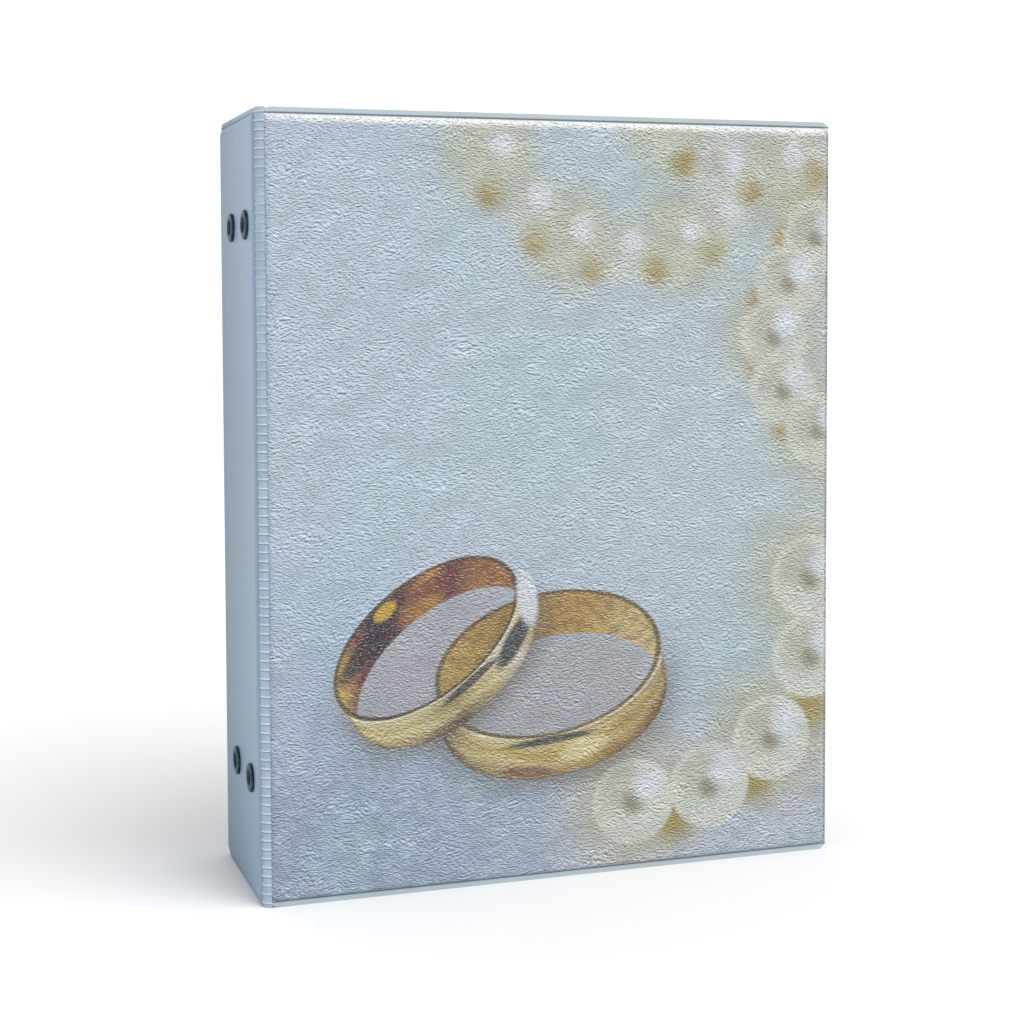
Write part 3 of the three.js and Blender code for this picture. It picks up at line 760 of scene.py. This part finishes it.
nickel = Finish("nickel_plate", Metallic=1.0, Roughness=0.2)
cloudy = nickel.noise(nickel.spread(nickel.place, 45, 45, 45), 3.0)
drawn = nickel.noise(nickel.spread(nickel.place, 2600, 2600, 60), 2.0)
nickel.set(
    Base_Color=nickel.mix(cloudy.ramp(0.35, 0.7), paint(198, 200, 202), paint(222, 222, 220)),
    Roughness=cloudy.ramp(0.3, 0.7, 0.16, 0.27),
    Normal=nickel.bump(drawn, 0.02 * mm, 0.35),
)


def broken_edges(node, offset, sharp=32):
    """A CAD node's shape with its sharp edges rounded off a little."""
    shape = bmesh.new()
    shape.from_mesh(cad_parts[node].data)
    bmesh.ops.remove_doubles(shape, verts=shape.verts, dist=2e-6)
    bmesh.ops.dissolve_limit(shape, angle_limit=math.radians(1), verts=shape.verts, edges=shape.edges)
    edges = [edge for edge in shape.edges
             if len(edge.link_faces) == 2 and edge.calc_face_angle() > math.radians(sharp)]
    bmesh.ops.bevel(shape, geom=edges, offset=offset, segments=2, profile=0.5, affect="EDGES",
                    material=-1, clamp_overlap=True)
    bmesh.ops.triangulate(shape, faces=[face for face in shape.faces if len(face.verts) > 4])
    return shape


for node, piece, body, offset in (
    ("base_plate", "base_plate_steel", "spine", 0.18 * mm),
    ("ring_housing", "arched_housing", "spine", 0.12 * mm),
    ("top_lever", "top_release_lever", "top_lever", 0.25 * mm),
    ("bottom_lever", "bottom_release_lever", "bottom_lever", 0.25 * mm),
    ("top_lever_pin", "top_cross_pin", "spine", 0.2 * mm),
    ("bottom_lever_pin", "bottom_cross_pin", "spine", 0.2 * mm),
):
    finished(piece, broken_edges(node, offset), body, "nickel_plate", node, nickel, smooth=40)
for node in ("front_blade", "back_blade"):
    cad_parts[node].data.materials.clear()
    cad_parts[node].data.materials.append(nickel.material)

# Rings ------------------------------------------------------------------------------------------
# Three rings of drawn steel wire, each in two halves: a leg out of the blade, a bend, and a half
# circle that ends against the other half.

# The wire is drawn thinner than the solids' by slack, so that it clears every leaf's slots.
wire_radius, slack = 1.8 * mm, 0.2 * mm
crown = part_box("ring_housing")[1].x
for word, side in (("front", -1), ("back", 1)):
    for k in range(1, 4):
        node = f"{word}_ring_half_{k}"
        low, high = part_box(node)
        z = (low.z + high.z) / 2
        tip = high.x - wire_radius
        axis = high.y if side < 0 else low.y
        far = (axis - low.y if side < 0 else high.y - axis) - wire_radius
        centre = Vector((tip - far, axis, z))
        leg = Vector((low.x, axis + side * 6.2 * mm, z))
        leg_top = Vector((crown - 1.1 * mm, leg.y, z))
        spline_data = bpy.data.curves.new(node, "CURVE")
        spline_data.dimensions = "3D"
        spline_data.bevel_depth = wire_radius - slack
        spline_data.bevel_resolution = 6
        spline_data.resolution_u = 14
        spline_data.use_fill_caps = True
        bend = (centre.x - far * math.cos(math.radians(30)) - leg_top.x) / 2
        outwards, stub = Vector((1, 0, 0)), 0.5 * mm
        points = [(leg, outwards, stub, stub), (leg_top, outwards, stub, bend)]
        end_angle = math.degrees(0.15 * mm / far)
        span = (150 - end_angle) / 2
        handle = far * 4 / 3 * math.tan(math.radians(span / 4))
        for j, angle in enumerate((150, 150 - span, end_angle)):
            turn = math.radians(angle)
            at = centre + far * Vector((math.cos(turn), side * math.sin(turn), 0))
            ahead = Vector((math.sin(turn), -side * math.cos(turn), 0))
            points.append((at, ahead, bend if j == 0 else handle, handle))
        spline = spline_data.splines.new("BEZIER")
        spline.bezier_points.add(len(points) - 1)
        for point, (at, ahead, back, on) in zip(spline.bezier_points, points):
            point.handle_left_type = point.handle_right_type = "FREE"
            point.co = at
            point.handle_left = at - ahead * back
            point.handle_right = at + ahead * on
        wire_curve = bpy.data.objects.new(node + "_path", spline_data)
        scene.collection.objects.link(wire_curve)
        bpy.context.view_layer.update()
        wire = bmesh.new()
        wire.from_mesh(wire_curve.to_mesh())
        wire_curve.to_mesh_clear()
        bpy.data.objects.remove(wire_curve)
        bmesh.ops.remove_doubles(wire, verts=wire.verts, dist=1e-6)
        bmesh.ops.recalc_face_normals(wire, faces=wire.faces)
        finished(f"{word}_ring_wire_{k}", wire, f"{word}_rings", "nickel_plate", node, nickel, smooth=50)

# Leaves -----------------------------------------------------------------------------------------
# Each leaf is a white card between two clear films, welded round two pockets and down a margin that
# is punched for the rings. A print lies in each pocket, on both sides, and lifts the film a little.

margin, border, pocket_gap, pocket_lift = 17 * mm, 4 * mm, 6 * mm, 0.1 * mm
leaf_edge, weld_seam = 0.2 * mm, 0.6 * mm
low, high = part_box("leaf_01")
leaf_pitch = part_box("leaf_02")[0].y - low.y
first_leaf = low.y
pocket_left = low.x + margin
pocket_width = high.x - border - pocket_left
pocket_foot = low.z + border
pocket_height = (high.z - low.z - 2 * border - pocket_gap) / 2
pocket_step = pocket_height + pocket_gap

pocket_film = Finish("pocket_film", Roughness=0.22, IOR=1.49, Coat_Weight=0.5, Coat_Roughness=0.06)
wave = pocket_film.noise(pocket_film.spread(pocket_film.place, 26, 26, 34), 2.0)
haze = pocket_film.noise(pocket_film.spread(pocket_film.place, 7, 7, 9), 3.0)
pocket_film.set(
    Base_Color=pocket_film.mix(haze.ramp(0.3, 0.7), paint(220, 226, 232), paint(240, 243, 244)),
    Roughness=wave.ramp(0.3, 0.7, 0.18, 0.3),
    Normal=pocket_film.bump(wave, 1.5 * mm, 0.4),
)

# A different landscape for every face of every leaf, told apart by where the face lies.
photo = Finish("photo_print", IOR=1.49, Coat_Weight=0.6, Coat_Roughness=0.06)
x, y, z = photo.axes()
side = ((y - first_leaf) / (leaf_pitch / 2) + 0.25).whole()
upper = ((z - pocket_foot) / pocket_step).whole()
page = side * 2.0 + upper
print_width, print_height = 152 * mm, 102 * mm
right = (x - (pocket_left + pocket_width / 2)) / print_width + 0.5
up = (z - upper * pocket_step - (pocket_foot + pocket_height / 2)) / print_height + 0.5
scenery = photo.node("CombineXYZ", {}, {"X": right * 1.5, "Y": up, "Z": page * 3.7})
skyline = photo.noise(photo.node("CombineXYZ", {}, {"X": right * 2.4, "Y": page * 5.3}), 4.0) * 0.9
bank = photo.noise(photo.node("CombineXYZ", {}, {"X": right * 1.2, "Y": page * 9.1}), 2.0) * 0.55
mood = photo.noise(photo.node("CombineXYZ", {}, {"X": page * 2.9}), 1.0).ramp(0.35, 0.65)
clouds = photo.noise(photo.spread(scenery, 3, 7, 1), 5.0)
leaves_seen = photo.noise(photo.spread(scenery, 16, 22, 1), 5.0)
air = photo.mix(mood, paint(112, 156, 206), paint(214, 168, 120))
air = photo.mix(up.ramp(1.0, 0.4), air, paint(232, 226, 208))
air = photo.mix(clouds.ramp(0.5, 0.7), air, paint(246, 244, 240))
hills = photo.mix(leaves_seen.ramp(0.35, 0.7), paint(70, 92, 104), paint(124, 142, 132))
meadow = photo.mix(leaves_seen.ramp(0.35, 0.65), paint(58, 82, 36), paint(176, 168, 92))
view = photo.mix((skyline - up).ramp(-0.006, 0.006), air, hills)
view = photo.mix((bank - up).ramp(-0.01, 0.01), view, meadow)
inside = photo.node("Math", {"operation": "MINIMUM"}, {0: right, 1: 1 - right})
inside_up = photo.node("Math", {"operation": "MINIMUM"}, {0: up, 1: 1 - up})
on_picture = inside.ramp(0.022, 0.024) * inside_up.ramp(0.033, 0.036)
on_print = inside_up.ramp(-0.002, 0.002)
view = photo.mix(on_picture, paint(246, 245, 241), view)
view = photo.mix(on_print, paint(222, 228, 234), view)
ripple = photo.noise(photo.spread(photo.place, 30, 30, 22), 2.0)
photo.set(Base_Color=view, Roughness=ripple.ramp(0.3, 0.7, 0.22, 0.34))
photo.set(Normal=photo.bump(ripple, 1.2 * mm, 0.4))

for k in range(1, 21):
    node = f"leaf_{k:02d}"
    leaf = broken_edges(node, leaf_edge)
    sides = (pocket_left, pocket_left + pocket_width)
    levels = [pocket_foot + j * pocket_step for j in range(2)]
    cuts = [((x, 0, 0), (1, 0, 0)) for x in sides]
    cuts += [((0, 0, z + rise), (0, 0, 1)) for z in levels for rise in (0, pocket_height)]
    for spot, normal in cuts:
        bmesh.ops.bisect_plane(leaf, geom=leaf.verts[:] + leaf.edges[:] + leaf.faces[:], dist=1e-7,
                               plane_co=spot, plane_no=normal)
    for foot in levels:
        for out in (-1, 1):
            inner = []
            for face in leaf.faces:
                spot = face.calc_center_median()
                if (face.normal.y * out > 0.9 and sides[0] < spot.x < sides[1]
                        and foot < spot.z < foot + pocket_height):
                    inner.append(face)
            pocket = bmesh.ops.dissolve_faces(leaf, faces=inner)["region"]
            bmesh.ops.inset_region(leaf, faces=pocket, thickness=weld_seam, depth=pocket_lift,
                                   use_boundary=True, use_even_offset=True)
            for face in pocket:
                face.material_index = 1
    finished(f"pocket_page_{k:02d}", leaf, node, "pocket_leaf", node, pocket_film, photo, smooth=20)

# Floor finish -----------------------------------------------------------------------------------
# Matt white paper.

paper = Finish("floor_paper", Roughness=0.85)
paper_tone = paper.noise(paper.spread(paper.place, 3, 3, 3), 2.0)
paper.set(Base_Color=paper.mix(paper_tone, (0.9, 0.9, 0.9), (0.93, 0.93, 0.93)))
floor.data.materials.append(paper.material)
